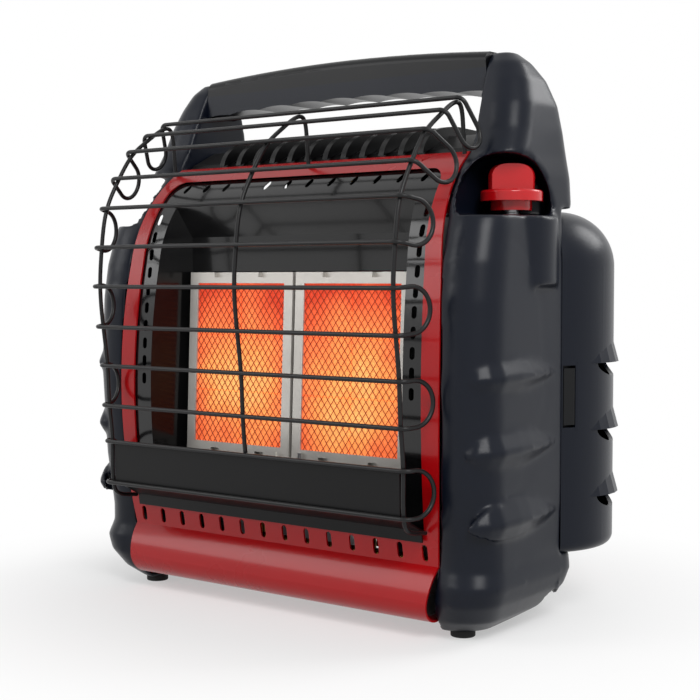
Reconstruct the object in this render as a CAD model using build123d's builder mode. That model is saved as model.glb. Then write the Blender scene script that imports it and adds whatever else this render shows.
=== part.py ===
from build123d import *
import os
from math import cos, pi, radians, sin

# Portable two-burner propane heater, in millimetres.
# X runs to the heater's left-hand side seen from behind (right in the front view), Y to the back, Z up.
# The origin is on the floor, under the middle of the bounding box.

os.makedirs("parts", exist_ok=True)

# ---------------------------------------------------------------- driving dimensions
WIRE_D = 3.3  # guard wire
GUARD_FRONT_Y = -140.0  # centre of the guard's foremost wire
REAR_Y = -GUARD_FRONT_Y + WIRE_D / 2  # back face of the fan housing
HANDLE_TOP_Z = 430.0
SHEET = 1.5  # painted sheet metal
THIN = 1.0  # liner and burner sheet
WALL = 3.0  # plastic wall
GAP = 0.4  # clearance between separate mouldings

# front skin, side profile (y, z)
LIP_BACK = (-84.0, 12.5)
LIP_NOSE = (-103.0, 28.0)
BAND_FOOT = (-92.0, 53.0)
FACE_MID = (-102.3, 178.0)
FACE_TOP = (-94.0, 269.0)
ROOF_MID = (-76.5, 317.0)
ROOF_BACK = (-44.0, 348.0)

# half width of the front skin
SKIN_HALF_FOOT = 146.9
SKIN_HALF_MID = 161.0
SKIN_HALF_TOP = 147.0
SKIN_LOW_Z = 12.5
SKIN_MID_Z = 180.0
SKIN_TOP_Z = 348.0

# opening in the front skin and its black flange
OPEN_HALF_LOW = 144.0
OPEN_HALF_TOP = 138.0
OPEN_LOW_Z = 78.0
OPEN_TOP_Z = 336.0

# gas cylinder bay (a 1 lb cylinder is 99 mm across and 203 mm tall)
BAY_X, BAY_Y = 140.0, 47.0
BAY_R = 66.0
BAY_TOP_Z = 307.0
BAY_FLOOR_Z = 56.0
BAY_DOME_R = 42.0
DOOR_LOW_Z = 52.0
DOOR_OFFSET = 14.1  # the seam plane's distance outside the bay axis
DOOR_TURN = 41.2  # heading of the seam plane's outward normal, degrees from +X
HINGE_X, HINGE_Y = 106.0, 109.0
HINGE_PIN_R = 1.5
KNUCKLE_R, KNUCKLE_L = 4.0, 14.0
KNUCKLE_ZS = (90.0, 236.0)  # fixed knuckles; a door knuckle sits on each
RUN_FIT = 0.05  # radial clearance where a part turns or slides

# control knob and its alcove
KNOB_X, KNOB_Y = 168.0, -22.0
ALCOVE_FLOOR_Z = 301.0
ALCOVE_TURN = -51.35  # heading that the alcove faces, degrees from +X
KNOB_TRAVEL = 4.0
SHELF_R = 34.0
STEM_HOLE_R = 7.0
SWITCH_Z = 294.0  # axis of the fan switch's rocker, under the left alcove's floor
SHOULDER_X = 140.0

# burner tiles, leaning a little backwards
TILE_PLANE = Plane(origin=(0, -66.5, 188.0), x_dir=(1, 0, 0), z_dir=(0, -0.9992, 0.04))
FRAME_W, FRAME_H, FRAME_D = 111.0, 146.0, 14.0
FRAME_X = 57.0
TILE_W, TILE_H, TILE_D = 98.6, 133.6, 11.0
PLENUM_D = 24.0
VENTURI_Y, VENTURI_R = -45.5, 9.0

# gas train
VALVE_LOW_Z, VALVE_TOP_Z, NECK_TOP_Z = 250.0, 290.0, 298.0
STEM_R = 5.0
SWIVEL_Z = 287.0
INLET_Z = 245.0
STEM_TOP_Z = 311.0
MANIFOLD_Y, MANIFOLD_Z, MANIFOLD_R = -45.5, 45.0, 4.0
DOWNPIPE_X = 166.0
SUPPLY_X = 80.0  # where the supply hoses enter the chassis
HOSE_R, HOSE_BEND = 3.0, 7.0
SWIVEL_R = 6.0
INLET_R, INLET_L = 12.3, 14.0  # 1 lb cylinder thread
REGULATOR_R = 18.0  # leaves the closed door room over the whole tilt

# chassis
CHASSIS_STEP_Y = -22.0
CHASSIS_BACK_Y = 103.0
CHASSIS_HALF_FRONT = 139.0
CHASSIS_HALF_BACK = 72.5
CHASSIS_LOW_Z = 14.0
CHASSIS_TOP_Z = 300.0

# handle
HANDLE_MID_Z = 412.0
HANDLE_DEPTH = 34.0

# guard
GUARD_HALF = 147.0
GUARD_ROWS = (
    (-62.6, 384.8),
    (-83.2, 374.1),
    (-102.8, 359.4),
    (-119.4, 336.8),
    (-132.2, 312.3),
    (-138.0, 281.0),
    (GUARD_FRONT_Y, 249.6),
    (-137.1, 217.3),
    (-133.1, 185.9),
    (-131.2, 153.6),
    (-128.2, 124.2),
    (-127.3, 90.8),
)
HOOP_DEPTHS = (34.0, 34.0, 28.0, 28.0, 26.0, 24.0)
HOOP_TURN, HOOP_BEND_R = 75.5, 7.0  # angle and radius of the bend at each end of a bar

# rear panel
SCREW_HOLE_R = 1.6
SCREW_SPOTS = [(x, z) for x in (-88.0, 88.0) for z in (40.0, 145.0, 250.0)]

# fan housing with its battery box
HOUSING_HALF = 65.0
HOUSING_LOW_Z, HOUSING_TOP_Z = 38.0, 300.0
BATTERY_LOW_Z, BATTERY_TOP_Z = 44.0, 116.0
FAN_Z = 190.0
FAN_R = 42.0

# feet
FOOT_TOP_Z = 5.0
FEET = ((157.0, -66.0), (-157.0, -66.0), (120.0, 85.0), (-120.0, 85.0))
FOOT_R = 9.0
STUD_R, STUD_L = 2.5, 6.0

ON_BASE = (Align.CENTER, Align.CENTER, Align.MIN)
SIDES = (("right", 1), ("left", -1))
DOOR_DIR = Vector(cos(radians(DOOR_TURN)), sin(radians(DOOR_TURN)), 0)
SEAM_DIR = Vector(sin(radians(DOOR_TURN)), -cos(radians(DOOR_TURN)), 0)


def block(x0, x1, y0, y1, z0, z1):
    """Box between six planes."""
    middle = Pos((x0 + x1) / 2, (y0 + y1) / 2, (z0 + z1) / 2)
    return middle * Box(x1 - x0, y1 - y0, z1 - z0, mode=Mode.PRIVATE)


def post(x, y, radius, z0, z1):
    """Upright round post."""
    return Pos(x, y, (z0 + z1) / 2) * Cylinder(radius, z1 - z0, mode=Mode.PRIVATE)


def bar_along(axis, x, y, z, radius, length):
    """Round bar along X or Y, centred on a point."""
    turn = {"x": Rot(0, 90, 0), "y": Rot(90, 0, 0)}[axis]
    return Pos(x, y, z) * turn * Cylinder(radius, length, mode=Mode.PRIVATE)


def cut(solid):
    """Take a solid away from the part under construction."""
    add(solid, mode=Mode.SUBTRACT)


def sheet(points, half, thickness=THIN, side=Side.LEFT):
    """Bent sheet: a line in (y, z), thickened to one side and run from -half to half in X."""
    with BuildPart() as plate:
        with BuildSketch(Plane.YZ):
            with BuildLine():
                Polyline(*points)
                offset(amount=thickness, side=side)
            make_face()
        extrude(amount=half, both=True)
    return plate.part


def rod(points, radius):
    """Round bar along a smooth curve through the points."""
    with BuildPart() as bar:
        with BuildLine() as course:
            Spline(*points)
        with BuildSketch(Plane(origin=course.line @ 0, z_dir=course.line % 0)):
            Circle(radius)
        sweep(path=course.line)
    return bar.part


def pipe(*corners):
    """Hose that runs straight between its corners, with an even bend at each."""
    with BuildPart() as hose:
        with BuildLine() as course:
            FilletPolyline(*corners, radius=HOSE_BEND)
        with BuildSketch(Plane(origin=corners[0], z_dir=course.line % 0)):
            Circle(HOSE_R)
        sweep(path=course.wires()[0])
    return hose.part


def front_profile():
    """Draw the front skin's side profile, from the lip's lower edge to the roof's back edge."""
    lip = ThreePointArc(LIP_BACK, (-98.5, 17.0), LIP_NOSE)
    neck = ThreePointArc(lip @ 1, (-99.6, 41.5), BAND_FOOT)
    face = ThreePointArc(neck @ 1, FACE_MID, FACE_TOP)
    roof = ThreePointArc(face @ 1, ROOF_MID, ROOF_BACK)
    return lip, roof


def behind_skin(inset, half):
    """Solid that fills everything behind the front skin, `inset` behind its outer face."""
    with BuildPart() as block:
        with BuildSketch(Plane.YZ):
            with BuildLine():
                lip, roof = front_profile()
                Polyline(roof @ 1, (200.0, ROOF_BACK[1]), (200.0, LIP_BACK[1]), lip @ 0)
            make_face()
            if inset:
                offset(amount=-inset, kind=Kind.INTERSECTION)
        extrude(amount=half, both=True)
    return block.part


def barrel(inset=0.0):
    """Solid bounded left and right by the front skin's bowed edges."""
    with BuildPart() as block:
        with BuildSketch(Plane.XZ):
            with BuildLine():
                edge = ThreePointArc(
                    (SKIN_HALF_FOOT - inset, SKIN_LOW_Z - 10),
                    (SKIN_HALF_MID - inset, SKIN_MID_Z),
                    (SKIN_HALF_TOP - inset, SKIN_TOP_Z + 0.5),
                )
                Line(edge @ 1, (0, SKIN_TOP_Z + 0.5))
                Line(edge @ 0, (0, SKIN_LOW_Z - 10))
                mirror(about=Plane.YZ)
            make_face()
        extrude(amount=300, both=True)
    return block.part


def opening_prism(half_low, half_top, low_z, top_z, corner):
    """Prism along Y through the front, with the opening's outline."""
    with BuildPart() as block:
        with BuildSketch(Plane.XZ):
            with BuildLine():
                shoulder = (half_low, low_z + 0.62 * (top_z - low_z))
                side = ThreePointArc((half_low, low_z), shoulder, (half_top, top_z))
                Line(side @ 1, (0, top_z))
                Line(side @ 0, (0, low_z))
                mirror(about=Plane.YZ)
            make_face()
            tops = vertices().group_by(Axis.Y)[-1].sort_by(Axis.X)
            fillet([tops[0], tops[-1]], corner)
        extrude(amount=300, both=True)
    return block.part


# ================================================================ front skin
with BuildPart() as front_panel:
    add(behind_skin(0.0, 170.0))
    cut(behind_skin(SHEET, 171.0))
    add(barrel(GAP), mode=Mode.INTERSECT)
    with BuildSketch(Plane.XY):  # only the front stays: the skin ends in two short returns
        with Locations((0, -150)):
            Rectangle(400, 2 * 150 + 2 * ROOF_BACK[0] + 12)
    extrude(amount=400, mode=Mode.INTERSECT)
    cut(opening_prism(OPEN_HALF_LOW, OPEN_HALF_TOP, OPEN_LOW_Z, OPEN_TOP_Z, 14.0))
    with BuildSketch(Plane.XZ.offset(60)):  # air slots across the band
        with Locations((0, 62)):
            with GridLocations(22.0, 0, 14, 1):
                SlotOverall(12.0, 5.0, rotation=90)
    extrude(amount=60, mode=Mode.SUBTRACT)
    with BuildSketch(Plane.XY.offset(330)):  # vents in the roof strip
        with Locations((0, -48.5)):
            with GridLocations(19.0, 0, 13, 1):
                SlotOverall(12.0, 3.0, rotation=35)
    extrude(amount=40, mode=Mode.SUBTRACT)
front_panel.part.label = "front_panel"
export_step(front_panel.part, "parts/front_panel.step")

# ================================================================ side casings
# One row per station up the casing: z, the edge beside the front skin (x, y), the front corner
# (x, y, radius) and the back corner (x, y, radius).
STATIONS = (
    (5.0, 147.0, -80.0, 176.0, -84.0, 24.0, 165.0, -2.0, 22.0),
    (14.0, 148.0, -88.0, 187.0, -94.0, 25.0, 180.0, 16.0, 22.0),
    (28.0, 150.0, -95.0, 195.0, -104.0, 26.0, 190.0, 32.0, 20.0),
    (40.0, 152.0, -95.0, 198.5, -107.5, 26.0, 193.0, 36.0, 20.0),
    (52.0, 153.0, -92.0, 195.0, -102.0, 26.0, 192.0, 36.0, 20.0),
    (66.0, 154.5, -93.0, 194.5, -100.5, 26.0, 193.0, 37.0, 20.0),
    (110.0, 158.5, -99.0, 197.0, -104.5, 26.0, 194.0, 37.0, 20.0),
    (180.0, 161.0, -102.0, 199.0, -110.0, 26.0, 194.0, 37.0, 20.0),
    (240.0, 159.5, -99.0, 199.0, -112.0, 26.0, 193.5, 37.0, 20.0),
    (268.0, 157.0, -94.0, 198.5, -110.5, 26.0, 193.0, 37.0, 20.0),
    (292.0, 155.0, -86.0, 196.5, -102.0, 25.0, 192.0, 37.0, 20.0),
    (312.0, 152.0, -78.0, 193.0, -87.0, 23.0, 191.0, 38.0, 20.0),
    (330.0, 150.0, -65.0, 190.0, -70.0, 22.0, 189.5, 39.0, 20.0),
    (346.0, 147.0, -46.0, 187.0, -54.0, 20.0, 187.0, 38.0, 20.0),
    (364.0, 146.0, -36.0, 184.0, -45.0, 20.0, 185.0, 36.5, 20.0),
    (384.0, 144.5, -29.0, 181.0, -38.0, 20.0, 182.0, 33.0, 19.0),
    (402.0, 143.0, -22.0, 175.0, -28.0, 18.0, 176.0, 25.5, 17.0),
    (415.0, 142.0, -16.0, 167.0, -19.0, 13.0, 167.0, 16.0, 13.0),
    (423.0, 141.0, -9.0, 157.0, -10.0, 7.0, 157.0, 7.0, 7.0),
)
CASING_INNER_X = 128.0
EAR_FOOT_X, EAR_TIP_X = 147.0, 141.5
EAR_TIP_Z = 423.0


def casing_body(inset):
    """Loft up the casing's stations, `inset` inside the outer face."""
    with BuildPart() as body:
        for z, x_edge, y_edge, x_front, y_front, r_front, x_back, y_back, r_back in STATIONS:
            lean = (y_front - y_edge) / (x_front - x_edge)
            y_start = y_edge + lean * (CASING_INNER_X - x_edge) + inset
            height = min(max(z, 5.0 + inset), EAR_TIP_Z - inset)
            front = (x_front - inset, y_front + inset)
            back = (x_back - inset, y_back - inset)
            with BuildSketch(Plane.XY.offset(height)):
                with BuildLine():
                    Polyline((CASING_INNER_X, y_start), front, back, (CASING_INNER_X, back[1]), close=True)
                make_face()
                fillet(vertices().sort_by_distance(front)[0], max(r_front - inset, 2.0))
                fillet(vertices().sort_by_distance(back)[0], max(r_back - inset, 2.0))
        loft(ruled=True)
    return body.part


def ear_side(shift):
    """Prism along Y that keeps what lies outside the ear's inner face, moved outward by `shift`."""
    with BuildPart() as block:
        with BuildSketch(Plane.XZ):
            with BuildLine():
                Polyline(
                    (EAR_FOOT_X + shift, SKIN_TOP_Z),
                    (EAR_TIP_X + shift, EAR_TIP_Z),
                    (EAR_TIP_X + shift, 460.0),
                    (300.0, 460.0),
                    (300.0, SKIN_TOP_Z),
                    close=True,
                )
            make_face()
        extrude(amount=300, both=True)
    return block.part


def bay_form(radius, low_z, high_z, dome, foot):
    """Domed round form about the gas cylinder's axis."""
    with BuildPart() as form:
        with BuildSketch(Plane.XZ):
            with BuildLine():
                Polyline((0, low_z), (radius, low_z), (radius, high_z), (0, high_z), close=True)
            make_face()
            fillet(vertices().sort_by_distance((radius, high_z))[0], dome)
            fillet(vertices().sort_by_distance((radius, low_z))[0], foot)
        revolve(axis=Axis.Z)
    return form.part.moved(Location((BAY_X, BAY_Y, 0)))


def seam_block(shift, low_z, high_z):
    """Everything outside the door's seam plane, between two heights."""
    middle = Vector(BAY_X, BAY_Y, 0) + DOOR_DIR * (DOOR_OFFSET + shift)
    corners = [
        middle + SEAM_DIR * 150,
        middle - SEAM_DIR * 150,
        middle - SEAM_DIR * 150 + DOOR_DIR * 200,
        middle + SEAM_DIR * 150 + DOOR_DIR * 200,
    ]
    with BuildPart() as block:
        with BuildSketch(Plane.XY.offset(low_z)):
            with BuildLine():
                Polyline(*[(p.X, p.Y) for p in corners], close=True)
            make_face()
        extrude(amount=high_z - low_z)
    return block.part


def alcove_prism(grow, back):
    """Arched prism that opens towards the knob's side of the casing."""
    facing = Vector(cos(radians(ALCOVE_TURN)), sin(radians(ALCOVE_TURN)), 0)
    across = Vector(-facing.Y, facing.X, 0)
    start = Vector(KNOB_X, KNOB_Y, 0) - facing * back
    with BuildPart() as block:
        with BuildSketch(Plane(origin=start, x_dir=across, z_dir=facing)):
            with BuildLine():
                floor = Line((-42.5 - grow, ALCOVE_FLOOR_Z - grow), (28.0 + grow, ALCOVE_FLOOR_Z - grow))
                right = ThreePointArc(floor @ 1, (26.0 + grow, 323.0), (15.0 + grow, 340.0 + grow))
                crown = ThreePointArc(right @ 1, (-6.0, 345.5 + grow), (-26.0 - grow, 341.0 + grow))
                ThreePointArc(crown @ 1, (-37.5 - grow, 327.0), floor @ 0)
            make_face()
        extrude(amount=back + 75)
    return block.part


outer_body = casing_body(0.0)
inner_body = casing_body(WALL)
bay_shell = bay_form(BAY_R, 20.0, BAY_TOP_Z, BAY_DOME_R, 14.0)
bay_room = bay_form(BAY_R - WALL, BAY_FLOOR_Z, BAY_TOP_Z - WALL, BAY_DOME_R - WALL, 6.0)
bay_under = bay_form(BAY_R - WALL, 9.0, BAY_FLOOR_Z - WALL, 4.0, 4.0)
ear_outside = ear_side(0.0)
ear_room = ear_side(WALL)

# leaf-shaped gill lips, which swell out of the casing behind its front corner and die away towards the door
GILL_CRESTS = (185.0, 134.0, 84.0)
GILL_OUT, GILL_ABOVE, GILL_BELOW = 6.5, 16.0, 12.0
GILL_RISE = 4.0  # from the front tip to the back one
CORNER_X, CORNER_Y, CORNER_R = 171.6, -78.6, 26.0  # the casing's front corner
CORNER_TURNS = (-64.0, -48.0, -28.0, -6.0)
CASING_FLAT = ((197.3, -60.0), (196.8, -45.0), (196.0, -30.0), (195.3, -15.0), (194.7, 0.0))


def on_circle(x, y, radius, turn):
    """A point on a circle, and the heading outwards there."""
    return x + radius * cos(radians(turn)), y + radius * sin(radians(turn)), turn


def leaf_lip(stations, crest_z, out, above, below, rise=0.0):
    """Lip along a wall that swells out of it, and dies away again at both tips."""
    last = len(stations) - 1
    with BuildPart() as lip:
        for index, (x, y, turn) in enumerate(stations):
            size = max(0.06, sin(pi * index / last) ** 0.7)
            outward = Vector(cos(radians(turn)), sin(radians(turn)), 0)
            crest = Vector(x, y, crest_z + rise * index / last)
            with BuildSketch(Plane(crest, x_dir=outward, z_dir=outward.cross(Vector(0, 0, 1)))):
                with BuildLine():
                    low, high, edge = -below * size, above * size, out * size - 0.3
                    Spline((-0.5, low), (0.45 * edge, 0.45 * low), (edge, 0.0))
                    Spline((edge, 0.0), (0.45 * edge, 0.5 * high), (-0.5, high))
                    Polyline((-0.5, high), (-2.0, high), (-2.0, low), (-0.5, low))
                make_face()
        loft(ruled=True)
    return lip.part


GILL_STATIONS = [on_circle(CORNER_X, CORNER_Y, CORNER_R, turn) for turn in CORNER_TURNS]
GILL_STATIONS += [(x, y, 0.0) for x, y in CASING_FLAT]


with BuildPart() as shoulder_zone:
    with BuildSketch(Plane.XZ):
        with BuildLine():
            Polyline(
                (SHOULDER_X, ALCOVE_FLOOR_Z - WALL),
                (SHOULDER_X, SKIN_TOP_Z),
                (200.0, SKIN_TOP_Z),
                (200.0, ALCOVE_FLOOR_Z - WALL),
                close=True,
            )
        make_face()
    extrude(amount=60, both=True)

with BuildPart() as alcove_zone:
    with Locations((SHOULDER_X + WALL + 60, 0, ALCOVE_FLOOR_Z + 40)):
        Box(120, 400, 100)

with BuildPart() as low_zone:
    with Locations((150, 0, SKIN_TOP_Z / 2)):
        Box(200, 400, SKIN_TOP_Z)

hollow = inner_body - bay_shell - seam_block(-WALL, DOOR_LOW_Z - WALL, BAY_TOP_Z + 1 + WALL)
hollow -= alcove_prism(WALL, 30.0 + WALL) & shoulder_zone.part
hollow -= shoulder_zone.part & Pos(SHOULDER_X, 0, 322) * Box(2 * WALL, 200, 60)

with BuildPart() as side_casing_right:
    add(outer_body)
    for crest_z in GILL_CRESTS:
        add(leaf_lip(GILL_STATIONS, crest_z, GILL_OUT, GILL_ABOVE, GILL_BELOW, GILL_RISE))
    cut(barrel())
    with BuildSketch(Plane.XZ):  # the ear's inner face leans out from its foot to its tip
        with BuildLine():
            Polyline(
                (100.0, SKIN_TOP_Z),
                (EAR_FOOT_X, SKIN_TOP_Z),
                (EAR_TIP_X, EAR_TIP_Z),
                (EAR_TIP_X, EAR_TIP_Z + 20),
                (100.0, EAR_TIP_Z + 20),
                close=True,
            )
        make_face()
    extrude(amount=300, both=True, mode=Mode.SUBTRACT)
    with BuildSketch(Plane.XY.offset(ALCOVE_FLOOR_Z - 50)):  # round shelf under the knob
        with Locations((KNOB_X, KNOB_Y)):
            Circle(SHELF_R)
    extrude(amount=50)
    # shoulder behind the front skin, which carries the alcove's inner wall
    add(outer_body & behind_skin(SHEET + GAP, 170.0) & shoulder_zone.part)
    cut(hollow & ear_room)
    cut(hollow & low_zone.part)
    # bay for the gas cylinder, with a web that carries the door's hinge and the rear panel
    add(bay_shell - seam_block(0.0, 0.0, BAY_TOP_Z + 1))
    add(block(74.0, 104.0, CHASSIS_BACK_Y - WALL, CHASSIS_BACK_Y, 20.0, 262.0))
    for low_z in KNUCKLE_ZS:
        add(block(HINGE_X - 4.0, HINGE_X, CHASSIS_BACK_Y - WALL, HINGE_Y, low_z, low_z + KNUCKLE_L))
        add(post(HINGE_X, HINGE_Y, KNUCKLE_R, low_z, low_z + KNUCKLE_L))
    cut(bay_under - seam_block(-WALL, 0.0, BAY_TOP_Z))
    add(post(*FEET[2], FOOT_R, FOOT_TOP_Z, BAY_FLOOR_Z - WALL))
    cut(bay_room)
    cut(seam_block(0.0, DOOR_LOW_Z, BAY_TOP_Z + 1))
    cut(alcove_prism(0.0, 30.0) & alcove_zone.part)
    with BuildSketch(Plane.XY.offset(ALCOVE_FLOOR_Z - 10)):  # hole for the valve stem
        with Locations((KNOB_X, KNOB_Y)):
            Circle(STEM_HOLE_R)
    extrude(amount=12, mode=Mode.SUBTRACT)
    cut(post(HINGE_X, HINGE_Y, HINGE_PIN_R, 0, BAY_TOP_Z))
    for x, y in FEET[::2]:
        cut(post(x, y, STUD_R, 0, FOOT_TOP_Z + STUD_L))
    swivel_axis = Location((BAY_X, BAY_Y, SWIVEL_Z), (0, 0, DOOR_TURN)) * Rot(0, 90, 0)
    swivel_way = swivel_axis * Cylinder(SWIVEL_R, 150, mode=Mode.PRIVATE)
    cut(swivel_way & block(70, 110, -30, 47, 270, 300))
    for x, z in SCREW_SPOTS:  # the rear panel's screws bite into the web
        cut(bar_along("y", x, CHASSIS_BACK_Y, z, SCREW_HOLE_R, 10.0))
side_casing_right.part.label = "side_casing_right"
export_step(side_casing_right.part, "parts/side_casing_right.step")

# the left casing is the mirror image, but its alcove holds the fan switch
switch_place = Pos(-KNOB_X, KNOB_Y, SWITCH_Z)
switch_axis = switch_place * Rot(0, 90, 0)
with BuildPart() as side_casing_left:
    add(mirror(side_casing_right.part, about=Plane.YZ))
    add(post(-KNOB_X, KNOB_Y, STEM_HOLE_R + 0.5, ALCOVE_FLOOR_Z - WALL, ALCOVE_FLOOR_Z))
    for side in (-7.8, 7.8):
        add(switch_place * Pos(side, 0, -1.0) * Box(2.4, 10.0, 10.0, mode=Mode.PRIVATE))
    cut(switch_place * Pos(0, 0, 6.0) * Box(12.8, 20.0, 12.0, mode=Mode.PRIVATE))
    cut(switch_axis * Cylinder(1.5 + RUN_FIT, 30, mode=Mode.PRIVATE))
side_casing_left.part.label = "side_casing_left"
export_step(side_casing_left.part, "parts/side_casing_left.step")


def save(name, part):
    """Write a finished piece under its own name."""
    part.label = name
    export_step(part, f"parts/{name}.step")


def save_pair(name, part):
    """Write a right-hand piece and its mirror image."""
    save(name + "_right", part)
    save(name + "_left", mirror(part, about=Plane.YZ))


# ================================================================ cylinder doors
HOOD_MOUTHS = (193.0, 143.0, 93.0)
HOOD_OUT, HOOD_HIGH = 4.4, 17.0
HOOD_START, HOOD_SWEEP = -14.0, 76.0
HOOD_STEPS = 8
MOUTH_HALF, MOUTH_DEEP = 33.0, 11.0
LATCH_REVEAL = 2.0  # of the latch's pocket above and below it
LATCH_LOW_Z, LATCH_HIGH_Z = 148.0, 190.0
latch_turn = DOOR_TURN - 77.7
latch_frame = Location((BAY_X, BAY_Y, 0), (0, 0, latch_turn))


HOOD_TURNS = [HOOD_START + HOOD_SWEEP * step / HOOD_STEPS for step in range(HOOD_STEPS + 1)]
HOOD_STATIONS = [on_circle(BAY_X, BAY_Y, BAY_R, turn) for turn in HOOD_TURNS]
hood_x, hood_y, hood_turn = on_circle(BAY_X, BAY_Y, BAY_R - 14.0, HOOD_START + HOOD_SWEEP / 2)
hood_out = Vector(cos(radians(hood_turn)), sin(radians(hood_turn)), 0)
hood_face = Plane((hood_x, hood_y, 0), x_dir=Vector(0, 0, 1).cross(hood_out), z_dir=hood_out)

with BuildPart() as door:
    add(bay_form(BAY_R, DOOR_LOW_Z, BAY_TOP_Z, BAY_DOME_R, 8.0))
    for mouth_z in HOOD_MOUTHS:
        add(leaf_lip(HOOD_STATIONS, mouth_z, HOOD_OUT, HOOD_HIGH, 0.8))
    for low_z in KNUCKLE_ZS:
        base = low_z + KNUCKLE_L + GAP
        add(post(HINGE_X, HINGE_Y, KNUCKLE_R, base, base + KNUCKLE_L))
        tie = Location((HINGE_X, HINGE_Y, base + KNUCKLE_L / 2), (0, 0, DOOR_TURN)) * Pos(1.9, -5.5, 0)
        add(tie * Box(4.2, 11.0, KNUCKLE_L, mode=Mode.PRIVATE))
    cut(bay_form(BAY_R - WALL, DOOR_LOW_Z + WALL, BAY_TOP_Z - WALL, BAY_DOME_R - WALL, 5.0))
    add(latch_frame * block(54.5, 65.0, 0.0, 14.0, LATCH_LOW_Z - 4.5, LATCH_HIGH_Z + 4.5))
    pocket_low, pocket_high = LATCH_LOW_Z - LATCH_REVEAL, LATCH_HIGH_Z + LATCH_REVEAL
    cut(latch_frame * block(57.4, 70.0, 1.6, 12.0, pocket_low, pocket_high))
    with BuildSketch(hood_face):  # half-moon mouths
        for mouth_z in HOOD_MOUTHS:
            with Locations((0, mouth_z)):
                Ellipse(MOUTH_HALF, MOUTH_DEEP)
            with Locations((0, mouth_z + MOUTH_DEEP / 2)):
                Rectangle(2 * MOUTH_HALF + 1, MOUTH_DEEP, mode=Mode.SUBTRACT)
    extrude(amount=20, mode=Mode.SUBTRACT)
    pin_way = post(HINGE_X, HINGE_Y, HINGE_PIN_R + RUN_FIT, 80, 290)
    knuckles = post(HINGE_X, HINGE_Y, KNUCKLE_R + 0.001, 80, 290) - pin_way
    add(seam_block(GAP, 0.0, BAY_TOP_Z + 1) + knuckles, mode=Mode.INTERSECT)
    cut(pin_way)
save_pair("cylinder_door", door.part)

with BuildPart() as hinge_pin:
    pin_low, pin_high = KNUCKLE_ZS[0] - 1.0, KNUCKLE_ZS[1] + 2 * KNUCKLE_L + GAP + 1.0
    add(post(HINGE_X, HINGE_Y, HINGE_PIN_R, pin_low, pin_high))
    add(post(HINGE_X, HINGE_Y, 2.6, pin_low - 1.0, pin_low))
save_pair("door_hinge_pin", hinge_pin.part)

with BuildPart() as door_latch:
    add(latch_frame * block(60.2, 65.6, 2.0, 11.6, LATCH_LOW_Z, LATCH_HIGH_Z))
    fillet(door_latch.edges().filter_by(Axis.Z), 1.2)
save_pair("door_latch", door_latch.part)

# ================================================================ handle
with BuildPart() as handle_bar:
    with BuildSketch(Plane.XZ):
        with BuildLine():
            crown = ThreePointArc((-150, 423.4), (0, HANDLE_TOP_Z), (150, 423.4))
            Polyline(crown @ 1, (150, HANDLE_MID_Z), (-150, HANDLE_MID_Z), crown @ 0)
        make_face()
    extrude(amount=HANDLE_DEPTH / 2, both=True)
    fillet(handle_bar.edges().group_by(Axis.Z)[-1] + handle_bar.edges().filter_by(
        lambda e: e.center().Z > 420 and abs(e.center().Y) > 16 and e.length > 250), 7.0)
    cut(ear_outside)
    cut(mirror(ear_outside, about=Plane.YZ))
save("handle_bar", handle_bar.part)

GRIP_SCALLOPS = 9
with BuildPart() as handle_grip:
    with BuildSketch(Plane.XZ):
        with BuildLine():
            pitch = 300.0 / GRIP_SCALLOPS
            for i in range(GRIP_SCALLOPS):
                x0, x1 = -150 + i * pitch, -150 + (i + 1) * pitch
                z0, z1 = (398.5 - 6.0 * (x / 150) ** 2 for x in (x0, x1))
                ThreePointArc((x0, z0), ((x0 + x1) / 2, (z0 + z1) / 2 + 1.6), (x1, z1))
            Polyline((150, 392.5), (150, HANDLE_MID_Z), (-150, HANDLE_MID_Z), (-150, 392.5))
        make_face()
    extrude(amount=HANDLE_DEPTH / 2, both=True)
    cut(ear_outside)
    cut(mirror(ear_outside, about=Plane.YZ))
save("handle_grip", handle_grip.part)

# ================================================================ firebox liner
LINER_BACK_Y = -60.0
FIREBOX_HALF = 129.0  # at the front; the flange runs from here to the skin's opening
FLANGE_HOLE_X = 135.5


def funnel(grow, back_y):
    """Tapering block that narrows from the opening to the burner wall."""
    with BuildPart() as form:
        with BuildSketch(Plane.XZ.offset(105.0)):
            with Locations((0, (88.2 + 363.0) / 2)):
                Rectangle(2 * (FIREBOX_HALF + grow), 363.0 - 88.2 + 2 * grow)
        with BuildSketch(Plane.XZ.offset(-back_y)):
            with Locations((0, (105.0 + 290.0) / 2)):
                Rectangle(2 * (118.0 + grow), 290.0 - 105.0 + 2 * grow)
        loft(ruled=True)
    return form.part


with BuildPart() as firebox_liner:
    add(funnel(THIN, LINER_BACK_Y) & behind_skin(SHEET + 0.7, 170.0))
    add(
        (behind_skin(SHEET + 0.7, 170.0) - behind_skin(SHEET + 0.7 + THIN, 171.0))
        & opening_prism(147.5, 138.8, 73.0, 341.0, 14.0)
    )
    cut(funnel(0.0, LINER_BACK_Y - THIN))
    add(block(-170.0, 170.0, -110.0, -44.0, 60.0, 345.0), mode=Mode.INTERSECT)
    with BuildSketch(Plane.XZ.offset(40)):  # window for the burners, air slots in the flange's sides
        with Locations((0, TILE_PLANE.origin.Z)):
            Rectangle(2 * (FRAME_X + FRAME_W / 2) + 2.0, FRAME_H + 2.0)
        with Locations((0, 239.5)):
            with GridLocations(2 * FLANGE_HOLE_X, 14.4, 2, 10):
                SlotOverall(9.0, 4.5, rotation=90)
        with Locations((0, 329.5)):
            with GridLocations(22.0, 0, 12, 1):
                SlotOverall(7.0, 4.5, rotation=60)
    extrude(amount=80, mode=Mode.SUBTRACT)
save("firebox_liner", firebox_liner.part)

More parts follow.
